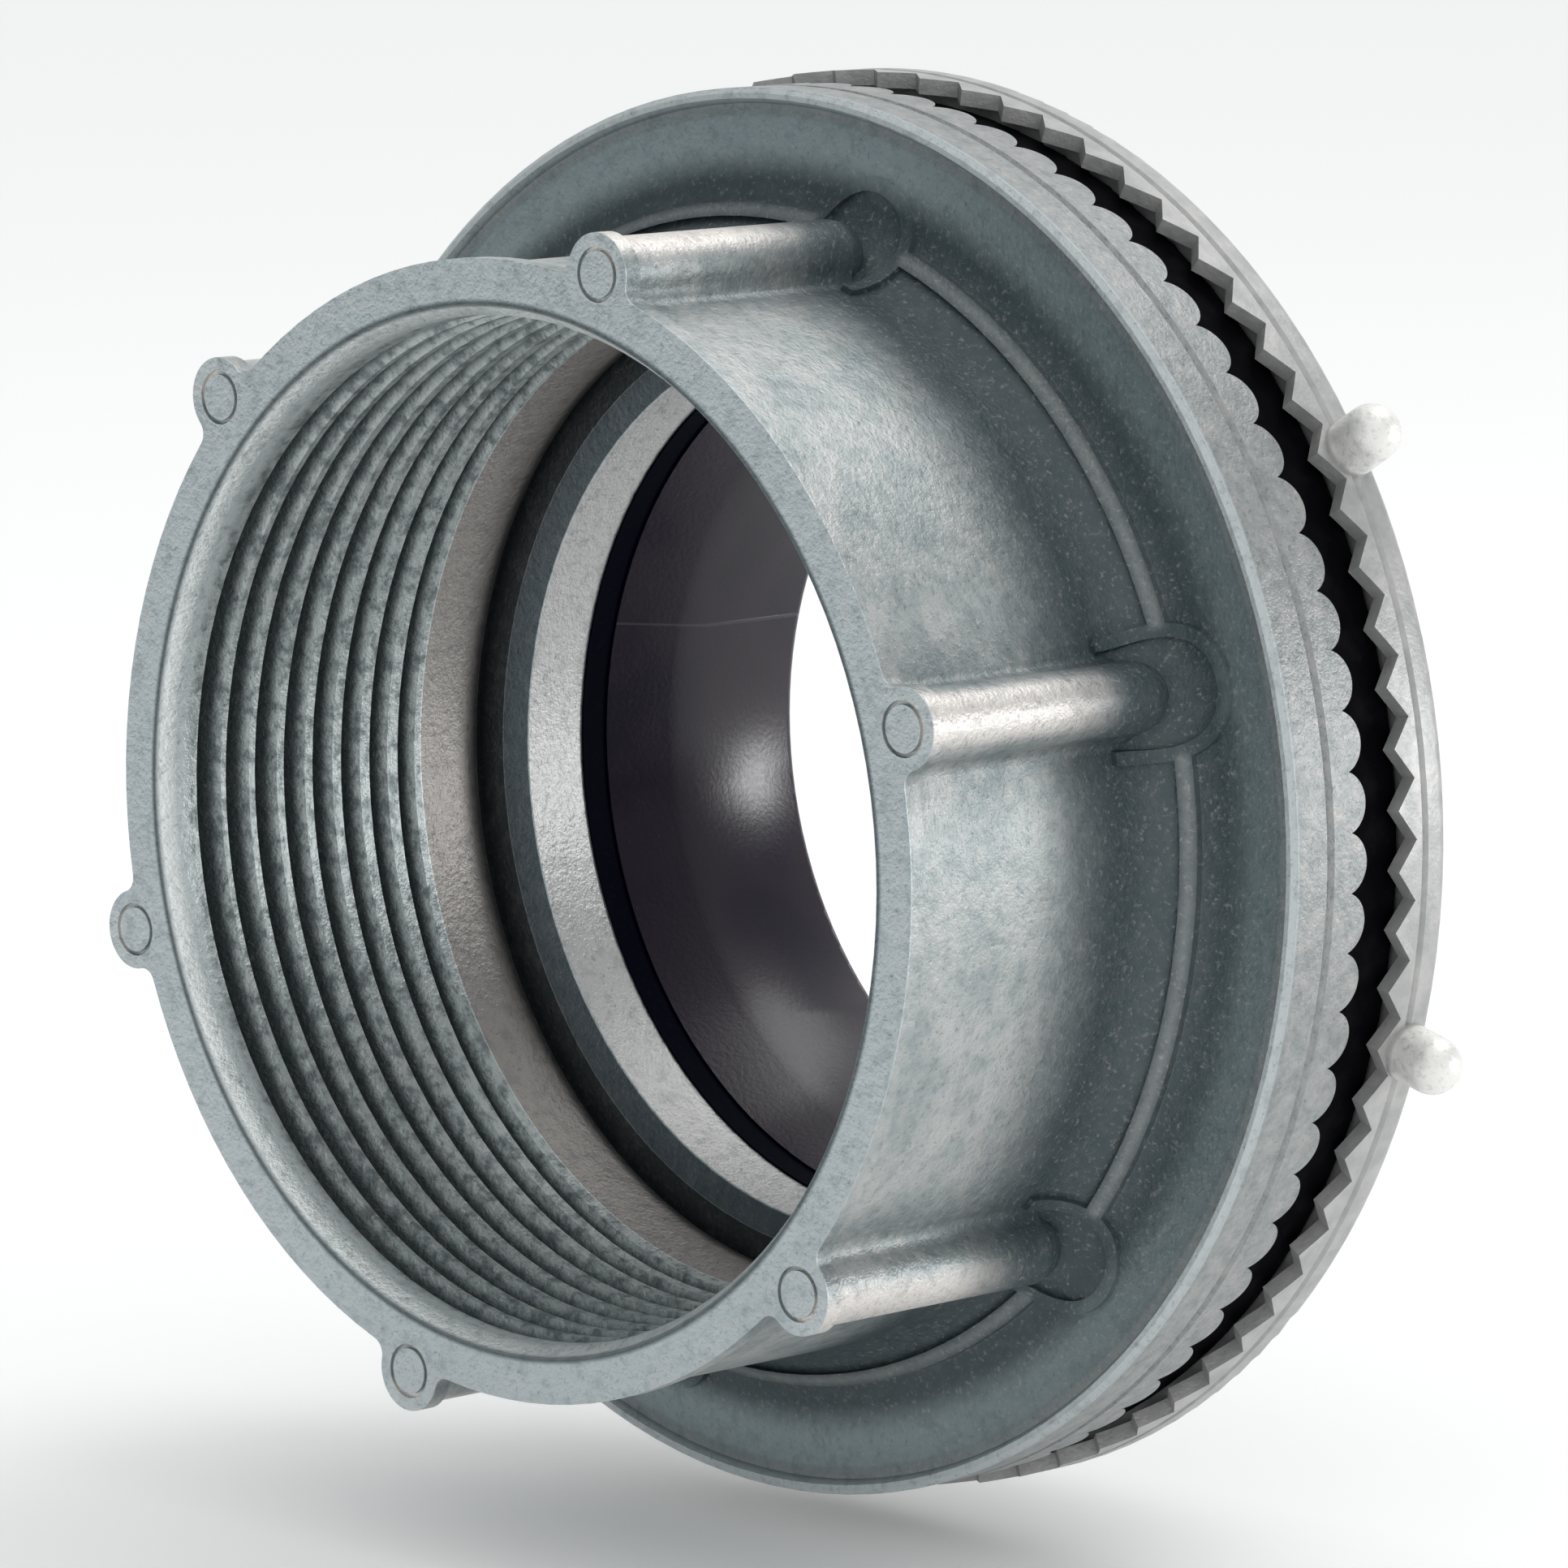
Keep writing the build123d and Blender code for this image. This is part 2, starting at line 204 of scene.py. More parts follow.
class Nodes:
    """A node tree that is written as expressions.

    A Mix node has sockets for every kind of value, so its colour ones are named by their places.
    """

    def __init__(self, tree: bpy.types.NodeTree) -> None:
        """Wrap a tree.

        Args:
            tree: the tree that nodes are added to.
        """
        self.tree = tree

    def node(self, kind: str, settings: dict, inputs: dict) -> bpy.types.Node:
        """Add a node.

        Args:
            kind: the node's type.
            settings: its properties, which are set before its sockets.
            inputs: socket name or number to a value, a socket or an expression.

        Returns:
            The new node.
        """
        made = self.tree.nodes.new(kind)
        for key, value in settings.items():
            setattr(made, key, value)
        for key, value in inputs.items():
            self.feed(made.inputs[key], value)
        return made

    def feed(self, socket: bpy.types.NodeSocket, value: object) -> None:
        """Give an input a value or a link.

        Args:
            socket: the input.
            value: a constant, or the socket or expression to link to it.
        """
        if isinstance(value, Expr):
            value = value.socket
        if isinstance(value, bpy.types.NodeSocket):
            self.tree.links.new(value, socket)
        else:
            socket.default_value = value

    def mix(self, mask: Expr, low: "Skin", high: "Skin") -> bpy.types.NodeSocket:
        """Blend two colours.

        Args:
            mask: 0 for low, 1 for high.
            low: a colour or a colour socket.
            high: a colour or a colour socket.

        Returns:
            The blended colour.
        """
        settings = {"data_type": "RGBA", "clamp_factor": True}
        node = self.node("ShaderNodeMix", settings, {MIX_FACTOR: mask, MIX_A: low, MIX_B: high})
        return node.outputs[MIX_RESULT]


@dataclass(frozen=True)
class Cloud:
    """A cloudy noise: the size of its features in metres, its octaves, and how strong the finer ones are."""

    grain: float
    detail: float = 3.0
    roughness: float = 0.55


class Shader(Nodes):
    """One material's node tree, with a Principled surface."""

    def __init__(self, name: str) -> None:
        """Start a material.

        Args:
            name: the material's name.
        """
        self.material = bpy.data.materials.new(name)
        self.material.use_nodes = True
        super().__init__(self.material.node_tree)
        self.surface = self.tree.nodes["Principled BSDF"]
        self.place = self.node("ShaderNodeTexCoord", {}, {}).outputs["Object"]

    def axes(self) -> tuple[Expr, Expr, Expr]:
        """Split the place on the piece.

        Returns:
            Its x, y and z, in metres.
        """
        split = self.node("ShaderNodeSeparateXYZ", {}, {0: self.place})
        x, y, z = (Expr(self, out) for out in split.outputs)
        return x, y, z

    def noise(self, cloud: Cloud) -> Expr:
        """Add a noise.

        Args:
            cloud: its size and detail.

        Returns:
            A value around 0.5.
        """
        look = {"Scale": 1 / cloud.grain, "Detail": cloud.detail, "Roughness": cloud.roughness}
        node = self.node("ShaderNodeTexNoise", {"noise_dimensions": "3D"}, {"Vector": self.place, **look})
        return Expr(self, node.outputs["Fac"])

    def bump(self, height: Expr, depth: float) -> bpy.types.NodeSocket:
        """A bumped normal.

        Args:
            height: the surface's height, from 0 to 1.
            depth: what a height of 1 is, in metres.

        Returns:
            The normal.
        """
        return self.node("ShaderNodeBump", {}, {"Height": height, "Distance": depth}).outputs[0]

    def set(self, **values: object) -> None:
        """Set the surface's sockets; an underscore in a name stands for a space."""
        for key, value in values.items():
            self.feed(self.surface.inputs[key.replace("_", " ")], value)


Colour = tuple[float, float, float, float]
Skin = bpy.types.NodeSocket | Colour
Fade = tuple[float, float]


def tone(red: float, green: float, blue: float) -> Colour:
    """An opaque linear colour."""
    return (red, green, blue, 1.0)


# --- finishes and painted light --------------------------------------------------------------------------


# Dark tone for random grime in the zinc's blotches and grain, and for painted shade on the barrel and
# flange.
GRIME_AND_SHADE = tone(0.040, 0.063, 0.072)
CAST_LIGHT = tone(0.50, 0.52, 0.515)


@dataclass(frozen=True)
class Spot:
    """Where a point of the casting lies, in the terms that its tones are set out in.

    The masks are 1 where they hold: outside on the barrel, the flange and the nipple's outer wall, barrel on
    the outer surfaces before the flange, and near in the fillet close to the flange.
    """

    shader: Shader
    x: Expr
    y: Expr
    radius: Expr
    from_rib: Expr
    outside: Expr
    barrel: Expr
    near: Expr

    def cover(self, mask: Expr, skin: Skin, colour: Skin) -> bpy.types.NodeSocket:
        """Lay a colour over the skin, as strongly as the mask says."""
        return self.shader.mix(mask, skin, colour)


@dataclass(frozen=True)
class BarrelPaintedLight:
    """Painted shade in the fillet and beside the ribs; painted highlight on rib tops and the fillet's bead.

    A Fade holds the distances at which its mask is 0 and 1. A share is how far a tone covers what is below.
    """

    # Pale tone painted along the rib tops as a highlight.
    rib_top_highlight: Colour = tone(0.86, 0.81, 0.77)
    # Painted shade beside each rib.
    beside_outer: Fade = (6.5 * MM, 2.6 * MM)
    beside_inner: Fade = (1.7 * MM, 2.3 * MM)
    beside_share: float = 0.34
    rib_half_width: Fade = (1.9 * MM, 1.0 * MM)
    rib_top_r: Fade = (33.2 * MM, 34.0 * MM)
    rib_top_highlight_y: Fade = (-11 * MM, -13 * MM)
    rib_top_highlight_share: float = 0.75
    # Strength of the painted shade in the fillet.
    fillet_share: float = 0.94
    # Painted highlight on the bead round the fillet.
    bead_r: float = 33.6 * MM
    bead_half_width: float = 0.55 * MM
    bead_gap: Fade = (3.2 * MM, 3.9 * MM)
    bead_share: float = 0.3

    def dress(self, spot: Spot, skin: Skin) -> Skin:
        """Lay the painted shade and highlights over the casting's skin.

        Args:
            spot: where the point lies.
            skin: the colour so far.

        Returns:
            The colour with the wear on it.
        """
        # Painted shade along both feet of each rib, on the barrel.
        beside = spot.from_rib.ramp(*self.beside_outer) * spot.from_rib.ramp(*self.beside_inner)
        on_top = spot.from_rib.ramp(*self.rib_half_width) * spot.radius.ramp(*self.rib_top_r)
        skin = spot.cover(beside * spot.barrel * self.beside_share, skin, GRIME_AND_SHADE)
        # Painted highlight along the rib tops, towards the mouth.
        rib_top_highlight = on_top * spot.y.ramp(*self.rib_top_highlight_y)
        skin = spot.cover(rib_top_highlight * spot.barrel * self.rib_top_highlight_share, skin, self.rib_top_highlight)
        # Painted shade in the fillet by the flange, with a ragged edge.
        skin = spot.cover(spot.near * self.fillet_share, skin, GRIME_AND_SHADE)
        # Painted highlight on the bead round the fillet, broken at the ribs.
        bead = spot.radius.band(self.bead_r, self.bead_half_width) * spot.from_rib.ramp(*self.bead_gap)
        return spot.cover(bead * spot.near * self.bead_share, skin, CAST_LIGHT)


@dataclass(frozen=True)
class FlangeTones:
    """Painted shade as a slate face and a darker side wall, a painted corner highlight, and a dark line.

    The face's painted shade is deeper to one side. The fades named inset are distances in from the rim.
    """

    rim_r: float
    # Face and wall tones are painted shade; the corner tone is a painted highlight.
    face: Colour = tone(0.34, 0.42, 0.44)
    wall: Colour = tone(0.31, 0.325, 0.325)
    corner: Colour = tone(0.68, 0.73, 0.74)
    face_y: float = -5.65 * MM
    face_half_depth: float = 0.75 * MM
    face_r: Fade = (35.0 * MM, 37.4 * MM)
    face_share: float = 0.9
    # Painted shade on the face, deeper towards +x.
    side_shade_x: Fade = (4 * MM, 36 * MM)
    side_shade_share: float = 0.62
    line_inset: float = 1.25 * MM
    line_half_width: float = 0.5 * MM
    line_share: float = 0.5
    behind_y: Fade = (-5.65 * MM, -5.25 * MM)
    wall_inset: Fade = (1.6 * MM, 1.3 * MM)
    wall_share: float = 0.85
    corner_inset: Fade = (0.95 * MM, 0.6 * MM)
    corner_share: float = 0.7

    def from_rim(self, inset: Fade) -> Fade:
        """The radii of a fade that is given as distances in from the rim."""
        return self.rim_r - inset[0], self.rim_r - inset[1]

    def dress(self, spot: Spot, skin: Skin) -> Skin:
        """Lay the flange's tones over the casting's skin.

        Args:
            spot: where the point lies.
            skin: the colour so far.

        Returns:
            The colour with the flange's tones.
        """
        front = spot.y.band(self.face_y, self.face_half_depth)
        # Painted shade: a slate tone on the outer face.
        skin = spot.cover(front * spot.radius.ramp(*self.face_r) * self.face_share, skin, self.face)
        # Painted shade on the face, deeper towards +x.
        skin = spot.cover(front * spot.x.ramp(*self.side_shade_x) * self.side_shade_share, skin, GRIME_AND_SHADE)
        line = spot.radius.band(self.rim_r - self.line_inset, self.line_half_width)
        skin = spot.cover(front * line * self.line_share, skin, GRIME_AND_SHADE)
        behind = spot.y.ramp(*self.behind_y)
        # Painted shade on the side wall.
        wall = spot.radius.ramp(*self.from_rim(self.wall_inset)) * behind
        skin = spot.cover(wall * self.wall_share, skin, self.wall)
        # Painted highlight on the rim's front corner.
        corner = spot.radius.ramp(*self.from_rim(self.corner_inset)) * (1 - behind)
        return spot.cover(corner * self.corner_share, skin, self.corner)


@dataclass(frozen=True)
class Turned:
    """One turned band of the bore: a stretch of the axis with its own tone and soft ends."""

    start: float
    end: float
    colour: Colour
    soft_start: float = 0.04 * MM
    soft_end: float = 0.04 * MM


@dataclass(frozen=True)
class BoreTones:
    """A bright lip, painted highlight on chamfer and lead-in, painted shade in thread roots, a tone per
    band.

    The fades named inset are distances in from the mouth.
    """

    mouth_y: float
    lip: Colour = tone(0.56, 0.63, 0.65)
    # Chamfer and lead-in tones are painted highlights.
    chamfer: Colour = tone(0.93, 0.98, 0.98)
    lead_in: Colour = tone(0.72, 0.79, 0.80)
    crest: Colour = tone(0.50, 0.55, 0.55)
    crest_dull: Colour = tone(0.23, 0.265, 0.27)
    # Painted shade for the thread's roots.
    root: Colour = tone(0.040, 0.055, 0.060)
    lip_inset: Fade = (0.12 * MM, 0.02 * MM)
    lip_share: float = 0.85
    bore_inset: Fade = (0.02 * MM, 0.08 * MM)
    chamfer_inset: Fade = (1.2 * MM, 0.7 * MM)
    lead_in_share: float = 0.92
    edge_r: float = 29.5 * MM
    edge_half_width: float = 0.34 * MM
    edge_inset: Fade = (0.3 * MM, 0.15 * MM)
    edge_share: float = 0.85
    thread_inset: Fade = (1.6 * MM, 2.3 * MM)
    thread_end_y: Fade = (-6.6 * MM, -6.7 * MM)
    thread_r: Fade = (28.85 * MM, 29.58 * MM)
    thread_share: float = 0.95
    dull_fade: Fade = (0.30, 0.60)
    band_share: float = 0.95
    # Bands two to four are painted shade: dark into the groove, a near-black groove, a slate cone.
    bands: tuple[Turned, ...] = (
        Turned(-6.6 * MM, -2.15 * MM, tone(0.37, 0.345, 0.325)),
        Turned(-3.0 * MM, -2.11 * MM, tone(0.05, 0.05, 0.052), 0.9 * MM),
        Turned(-2.15 * MM, -1.22 * MM, tone(0.005, 0.007, 0.010)),
        Turned(-1.26 * MM, -0.52 * MM, tone(0.085, 0.107, 0.121)),
        Turned(-0.52 * MM, 3.9 * MM, tone(0.55, 0.55, 0.545)),
    )

    def from_mouth(self, inset: Fade) -> Fade:
        """The places along the axis of a fade that is given as distances in from the mouth."""
        return self.mouth_y + inset[0], self.mouth_y + inset[1]

    def dress(self, spot: Spot, skin: Skin, blotch: Expr) -> Skin:
        """Lay the bore's tones over the casting's skin.

        Args:
            spot: where the point lies.
            skin: the colour so far.
            blotch: noise that dulls the crests in places.

        Returns:
            The colour with the bore's tones.
        """
        y, radius, inside = spot.y, spot.radius, 1 - spot.outside
        skin = spot.cover(y.ramp(*self.from_mouth(self.lip_inset)) * self.lip_share, skin, self.lip)
        # Painted highlight on the mouth's chamfer and lead-in.
        started = y.ramp(*self.from_mouth(self.bore_inset)) * inside
        lead_in = spot.cover(y.ramp(*self.from_mouth(self.chamfer_inset)), self.lead_in, self.chamfer)
        skin = spot.cover(started * self.lead_in_share, skin, lead_in)
        edge = radius.band(self.edge_r, self.edge_half_width) * y.ramp(*self.from_mouth(self.edge_inset))
        skin = spot.cover(edge * self.edge_share, skin, GRIME_AND_SHADE)
        crest = spot.cover(blotch.ramp(*self.dull_fade), self.crest_dull, self.crest)
        # Painted shade in the thread's roots; the crests keep the paler tone.
        thread = spot.cover(radius.ramp(*self.thread_r), crest, self.root)
        threaded = y.ramp(*self.from_mouth(self.thread_inset)) * y.ramp(*self.thread_end_y) * inside
        skin = spot.cover(threaded * self.thread_share, skin, thread)
        for band in self.bands:
            within = y.ramp(band.start, band.start + band.soft_start)
            within = within * y.ramp(band.end, band.end - band.soft_end)
            skin = spot.cover(within * inside * self.band_share, skin, band.colour)
        return skin


@dataclass(frozen=True)
class CastZinc:
    """Matt die-cast zinc: mottled and grainy, with painted light on its barrel and the tones of its flange
    and its bore.
    """

    flange: FlangeTones
    bore: BoreTones
    barrel_painted_light: BarrelPaintedLight = BarrelPaintedLight()
    light: Colour = CAST_LIGHT
    dark: Colour = tone(0.22, 0.285, 0.30)
    warm: Colour = tone(0.62, 0.575, 0.54)
    mottle: Cloud = Cloud(4.5 * MM, 3.0, 0.5)
    blotch: Cloud = Cloud(0.95 * MM, 3.0, 0.6)
    grain: Cloud = Cloud(0.32 * MM, 2.0, 0.7)
    nipple_y: Fade = (-1.28 * MM, -1.22 * MM)
    throat_r: Fade = (27.9 * MM, 28.0 * MM)
    bore_limit_r: Fade = (30.4 * MM, 30.5 * MM)
    flange_y: Fade = (-5.2 * MM, -5.45 * MM)
    fillet_y: Fade = (-16.5 * MM, -8.2 * MM)
    fillet_ragged: float = 4 * MM
    rib_turn: float = math.radians(60.0)
    rib_phase: float = math.radians(16.0)
    mottle_fade: Fade = (0.3, 0.7)
    mottle_share: float = 0.6
    blotch_pale: Fade = (0.46, 0.74)
    blotch_dark: Fade = (0.53, 0.28)
    blotch_dark_share: float = 0.22
    grain_pale: Fade = (0.54, 0.78)
    grain_dark: Fade = (0.44, 0.24)
    grain_dark_share: float = 0.35
    pale_outside: float = 0.2
    blotch_pale_least: float = 0.05
    grain_pale_least: float = 0.08
    fillet_hides: float = 0.85
    metallic: float = 0.7
    fillet_dulls: float = 0.45
    roughness: float = 0.38
    grain_roughness: float = 0.2
    relief: tuple[float, float, float] = (0.45, 0.45, 0.1)
    depth: float = 0.14 * MM

    def locate(self, shader: Shader, mottle: Expr) -> Spot:
        """Work out where a point of the casting lies.

        Args:
            shader: the material.
            mottle: noise that makes the fillet's grime end raggedly.

        Returns:
            The place and its masks.
        """
        x, y, z = shader.axes()
        radius = (x * x + z * z) ** 0.5
        on_nipple = y.ramp(*self.nipple_y) * radius.ramp(*self.throat_r)
        outside = 1 - (1 - on_nipple) * (1 - radius.ramp(*self.bore_limit_r))
        from_rib = (z.angle(x) - self.rib_phase).wrapped(self.rib_turn).size() * radius
        barrel = y.ramp(*self.flange_y) * outside
        near = (y + mottle * self.fillet_ragged).ramp(*self.fillet_y) * barrel
        return Spot(shader, x, y, radius, from_rib, outside, barrel, near)

    def make(self) -> bpy.types.Material:
        """Build the material.

        Returns:
            The material.
        """
        shader = Shader("cast_zinc")
        mottle, blotch, grain = (shader.noise(cloud) for cloud in (self.mottle, self.blotch, self.grain))
        spot = self.locate(shader, mottle)
        lightness = mottle.ramp(*self.mottle_fade) * self.mottle_share + (1 - self.mottle_share)
        skin = shader.mix(lightness, self.dark, self.light)
        # Painted shade and highlights on the barrel.
        skin = self.barrel_painted_light.dress(spot, skin)
        skin = self.flange.dress(spot, skin)
        skin = self.bore.dress(spot, skin, blotch)
        pale = blotch.ramp(*self.blotch_pale) * (1 - self.fillet_hides * spot.near)
        pale = pale * (self.blotch_pale_least + self.pale_outside * spot.outside)
        skin = spot.cover(pale, skin, self.warm)
        skin = spot.cover(blotch.ramp(*self.blotch_dark) * self.blotch_dark_share, skin, GRIME_AND_SHADE)
        pale = grain.ramp(*self.grain_pale) * (self.grain_pale_least + self.pale_outside * spot.outside)
        skin = spot.cover(pale, skin, self.warm)
        skin = spot.cover(grain.ramp(*self.grain_dark) * self.grain_dark_share, skin, GRIME_AND_SHADE)
        fine, coarse, broad = self.relief
        shader.set(
            Base_Color=skin,
            Metallic=self.metallic - self.fillet_dulls * spot.near,
            Roughness=self.roughness + self.grain_roughness * grain,
            Normal=shader.bump(grain * fine + blotch * coarse + mottle * broad, self.depth),
        )
        return shader.material


@dataclass(frozen=True)
class PlatedNut:
    """Bright zinc plate, whitish grey, with a fine grain and a painted highlight on the lugs."""

    light: Colour = tone(0.50, 0.50, 0.49)
    dark: Colour = tone(0.37, 0.38, 0.38)
    # Painted highlight on the lugs.
    lug_highlight: Colour = tone(0.95, 0.94, 0.91)
    lug_r: Fade = (41.1 * MM, 41.5 * MM)
    lug_share: float = 0.85
    mottle: Cloud = Cloud(1.7 * MM)
    mottle_fade: Fade = (0.25, 0.75)
    grain: Cloud = Cloud(0.4 * MM, 2.0, 0.7)
    grain_dark: Fade = (0.5, 0.28)
    grain_dark_share: float = 0.35
    metallic: float = 0.5
    roughness: float = 0.36
    grain_roughness: float = 0.2
    relief: tuple[float, float] = (0.7, 0.3)
    depth: float = 0.05 * MM

    def make(self) -> bpy.types.Material:
        """Build the material.

        Returns:
            The material.
        """
        shader = Shader("plated_zinc")
        x, _, z = shader.axes()
        mottle, grain = shader.noise(self.mottle), shader.noise(self.grain)
        skin = shader.mix(mottle.ramp(*self.mottle_fade), self.dark, self.light)
        # Painted highlight on the lugs.
        on_lug = ((x * x + z * z) ** 0.5).ramp(*self.lug_r)
        skin = shader.mix(on_lug * self.lug_share, skin, self.lug_highlight)
        skin = shader.mix(grain.ramp(*self.grain_dark) * self.grain_dark_share, skin, self.dark)
        fine, broad = self.relief
        shader.set(
            Base_Color=skin,
            Metallic=self.metallic,
            Roughness=self.roughness + self.grain_roughness * grain,
            Normal=shader.bump(grain * fine + mottle * broad, self.depth),
        )
        return shader.material


@dataclass(frozen=True)
class ThroatPlastic:
    """Semi-gloss dark purple-grey plastic, with a faint pale parting seam along its bore."""

    body: Colour = tone(0.012, 0.009, 0.020)
    cloudy: Colour = tone(0.026, 0.019, 0.030)
    seam: Colour = tone(0.09, 0.08, 0.10)
    cloud: Cloud = Cloud(9 * MM, 2.0)
    cloud_fade: Fade = (0.35, 0.65)
    grain: Cloud = Cloud(0.3 * MM, 2.0)
    seam_angle: float = math.radians(165.0)
    seam_half_width: float = 0.16 * MM
    seam_side_x: Fade = (0.0, -1 * MM)
    seam_share: float = 0.5
    roughness: float = 0.20
    grain_roughness: float = 0.10
    specular: float = 0.42
    relief: tuple[float, float] = (0.2, 0.8)
    depth: float = 0.04 * MM

    def make(self) -> bpy.types.Material:
        """Build the material.

        Returns:
            The material.
        """
        shader = Shader("throat_plastic")
        x, _, z = shader.axes()
        cloud, grain = shader.noise(self.cloud), shader.noise(self.grain)
        off_seam = z * math.cos(self.seam_angle) - x * math.sin(self.seam_angle)
        seam = off_seam.band(0.0, self.seam_half_width) * x.ramp(*self.seam_side_x)
        skin = shader.mix(cloud.ramp(*self.cloud_fade), self.body, self.cloudy)
        fine, ridge = self.relief
        shader.set(
            Base_Color=shader.mix(seam * self.seam_share, skin, self.seam),
            Roughness=self.roughness + self.grain_roughness * grain,
            Specular_IOR_Level=self.specular,
            Normal=shader.bump(grain * fine + seam * ridge, self.depth),
        )
        return shader.material


@dataclass(frozen=True)
class ShadedLipPlastic:
    """Painted shade on the throat's front lip: the same plastic, matt and blue-black."""

    # Near-black blue painted as shade on the lip.
    body: Colour = tone(0.0006, 0.0012, 0.0060)
    dust: Colour = tone(0.0030, 0.0040, 0.0120)
    dust_fade: Fade = (0.5, 0.8)
    grain: Cloud = Cloud(0.5 * MM)
    roughness: float = 0.55
    grain_roughness: float = 0.2
    specular: float = 0.03
    depth: float = 0.01 * MM

    def make(self) -> bpy.types.Material:
        """Build the material.

        Returns:
            The material.
        """
        shader = Shader("lip_plastic_shaded")
        grain = shader.noise(self.grain)
        shader.set(
            Base_Color=shader.mix(grain.ramp(*self.dust_fade), self.body, self.dust),
            Roughness=self.roughness + self.grain_roughness * grain,
            Specular_IOR_Level=self.specular,
            Normal=shader.bump(grain, self.depth),
        )
        return shader.material


@dataclass(frozen=True)
class RingRubber:
    """Matt black moulded rubber with a faint bloom."""

    body: Colour = tone(0.0012, 0.0012, 0.0022)
    bloom: Colour = tone(0.0045, 0.0045, 0.0065)
    cloud: Cloud = Cloud(2.2 * MM)
    bloom_fade: Fade = (0.45, 0.75)
    grain: Cloud = Cloud(0.25 * MM, 2.0)
    roughness: float = 0.75
    grain_roughness: float = 0.15
    specular: float = 0.05
    depth: float = 0.02 * MM

    def make(self) -> bpy.types.Material:
        """Build the material.

        Returns:
            The material.
        """
        shader = Shader("ring_rubber")
        cloud, grain = shader.noise(self.cloud), shader.noise(self.grain)
        shader.set(
            Base_Color=shader.mix(cloud.ramp(*self.bloom_fade), self.body, self.bloom),
            Roughness=self.roughness + self.grain_roughness * grain,
            Specular_IOR_Level=self.specular,
            Normal=shader.bump(grain, self.depth),
        )
        return shader.material


# --- pieces ----------------------------------------------------------------------------------------------


class Body(Enum):
    """The rigid bodies that a piece can ride on."""

    HUB = "hub"
    RING = "ring"
    NUT = "nut"


def deselect_all() -> None:
    """Clear the selection, because an operator acts on all that is selected."""
    for obj in bpy.context.view_layer.objects:
        obj.select_set(False)


def focus(obj: bpy.types.Object) -> None:
    """Make one object the only one selected, and active.

    Args:
        obj: the object.
    """
    deselect_all()
    obj.select_set(True)
    bpy.context.view_layer.objects.active = obj


@dataclass
class MouldedPiece:
    """One cast or moulded piece, copied from its frame node so that it can be merged and smoothed.

    An edge is kept sharp where its faces turn by more than crease, in degrees.
    """

    name: str
    node: str
    slot: str
    body: Body
    crease: float = 34.0
    merge: float = 0.0008 * MM

    def build(self, frame: dict) -> bpy.types.Object:
        """Copy the node's shape, merge its loose triangles, smooth it and dress it.


        Returns:
            The finished piece, riding on its body in place of the node.
        """
        source = frame["nodes"][self.node]
        piece = source.copy()
        piece.data = source.data.copy()
        piece.name = self.name
        piece.data.name = self.name
        piece.parent = None
        for mark in FRAME_MARKS:
            if mark in piece:
                del piece[mark]
        bpy.context.scene.collection.objects.link(piece)
        focus(piece)
        bpy.ops.object.mode_set(mode="EDIT")
        bpy.ops.mesh.select_all(action="SELECT")
        bpy.ops.mesh.remove_doubles(threshold=self.merge)
        bpy.ops.object.mode_set(mode="OBJECT")
        if piece.data.has_custom_normals:
            bpy.ops.mesh.customdata_custom_splitnormals_clear()
        bpy.ops.object.shade_smooth_by_angle(angle=math.radians(self.crease))
        piece.data.materials.clear()
        self.dress(piece)
        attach(piece, self.body.value)
        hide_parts(self.node)
        return piece

    def dress(self, piece: bpy.types.Object) -> None:
        """Give the piece its finish."""
        raise NotImplementedError


@dataclass
class HubCasting(MouldedPiece):
    """Ribbed barrel, toothed flange and threaded nipple, cast in one."""

    name: str = "hub_casting"
    node: str = "hub_body"
    slot: str = "zinc_body"
    body: Body = Body.HUB

    def dress(self, piece: bpy.types.Object) -> None:
        """Give it cast zinc, set out from the casting's own mouth and flange."""
        low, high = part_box(self.node)
        piece.data.materials.append(CastZinc(FlangeTones(high.x), BoreTones(low.y)).make())


@dataclass
class ThroatLiner(MouldedPiece):
    """Plastic tube in the nipple, with painted shade in blue-black on its front lip."""

    name: str = "throat_tube"
    node: str = "throat_liner"
    slot: str = "liner_plastic"
    body: Body = Body.HUB
    lip_length: float = 1.85 * MM

    def dress(self, piece: bpy.types.Object) -> None:
        """Give it its plastic, and the lip's faces a near-black painted shade.

        Args:
            piece: the liner.
        """
        piece.data.materials.append(ThroatPlastic().make())
        # The lip's faces get painted shade.
        piece.data.materials.append(ShadedLipPlastic().make())
        lip_end_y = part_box(self.node)[0].y + self.lip_length
        for face in piece.data.polygons:
            face.material_index = int(face.center.y < lip_end_y)


@dataclass
class Gasket(MouldedPiece):
    """Black rubber ring between flange and nut."""

    name: str = "gasket"
    node: str = "sealing_ring"
    slot: str = "ring_rubber"
    body: Body = Body.RING

    def dress(self, piece: bpy.types.Object) -> None:
        """Give it its rubber."""
        piece.data.materials.append(RingRubber().make())


@dataclass
class ToothedNut(MouldedPiece):
    """Ring nut with a toothed crown and round-ended lugs."""

    name: str = "toothed_nut"
    node: str = "lock_nut"
    slot: str = "zinc_nut"
    body: Body = Body.NUT

    def dress(self, piece: bpy.types.Object) -> None:
        """Give it its plate."""
        piece.data.materials.append(PlatedNut().make())


# --- studio ----------------------------------------------------------------------------------------------


@dataclass(frozen=True)
class Shade:
    """A dim part of the surroundings, in one direction.

    The fade holds the cosines of the angles from that direction at which it starts and is full.
    """

    towards: tuple[float, float, float]
    fade: Fade
    colour: Colour


